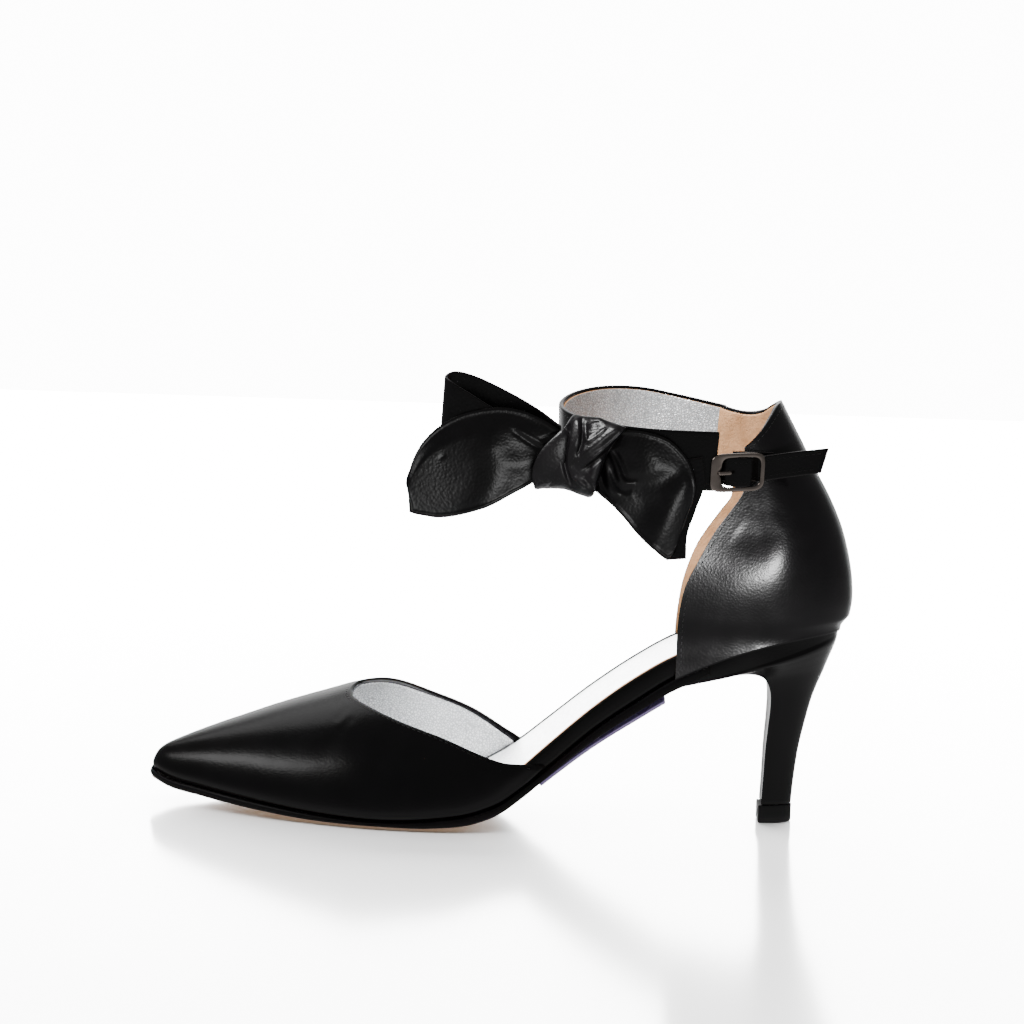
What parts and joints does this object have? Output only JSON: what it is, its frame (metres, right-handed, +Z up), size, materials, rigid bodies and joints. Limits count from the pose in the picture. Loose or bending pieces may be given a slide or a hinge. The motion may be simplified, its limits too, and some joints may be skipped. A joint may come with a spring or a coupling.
{
  "type": "stiletto shoe",
  "caption": "Left women's pointed pump, open at the waist, with a high closed heel counter, slim heel, buckled ankle strap and a leather bow.",
  "frame": {"origin": "middle of the footprint on the ground plane", "axes": "+X from the toe to the heel, +Y to the inner side of the foot, +Z up"},
  "size_m": [0.2514, 0.0782, 0.16],
  "materials": {
    "black_nappa": "smooth, soft gloss",
    "sole_leather": "dyed edge, satin",
    "insole_wrap": "silver foil lining",
    "heel_cover": "satin",
    "top_lift": "matt",
    "waist_film": "satin film",
    "gunmetal": "dark polished"
  },
  "bodies": {
    "root": {"outsole": "sole_leather", "insole": "insole_wrap", "vamp": "black_nappa", "quarter": "black_nappa", "heel": "heel_cover", "top_lift": "top_lift", "waist_strip": "waist_film", "ankle_strap": "black_nappa", "strap_tongue": "black_nappa", "buckle": "gunmetal", "buckle_prong": "gunmetal", "buckle_tab": "black_nappa", "bow_loop": "black_nappa", "bow_tail_left": "black_nappa", "bow_tail_right": "black_nappa", "bow_tail_back": "black_nappa", "bow_knot": "black_nappa"}
  },
  "joints": []
}
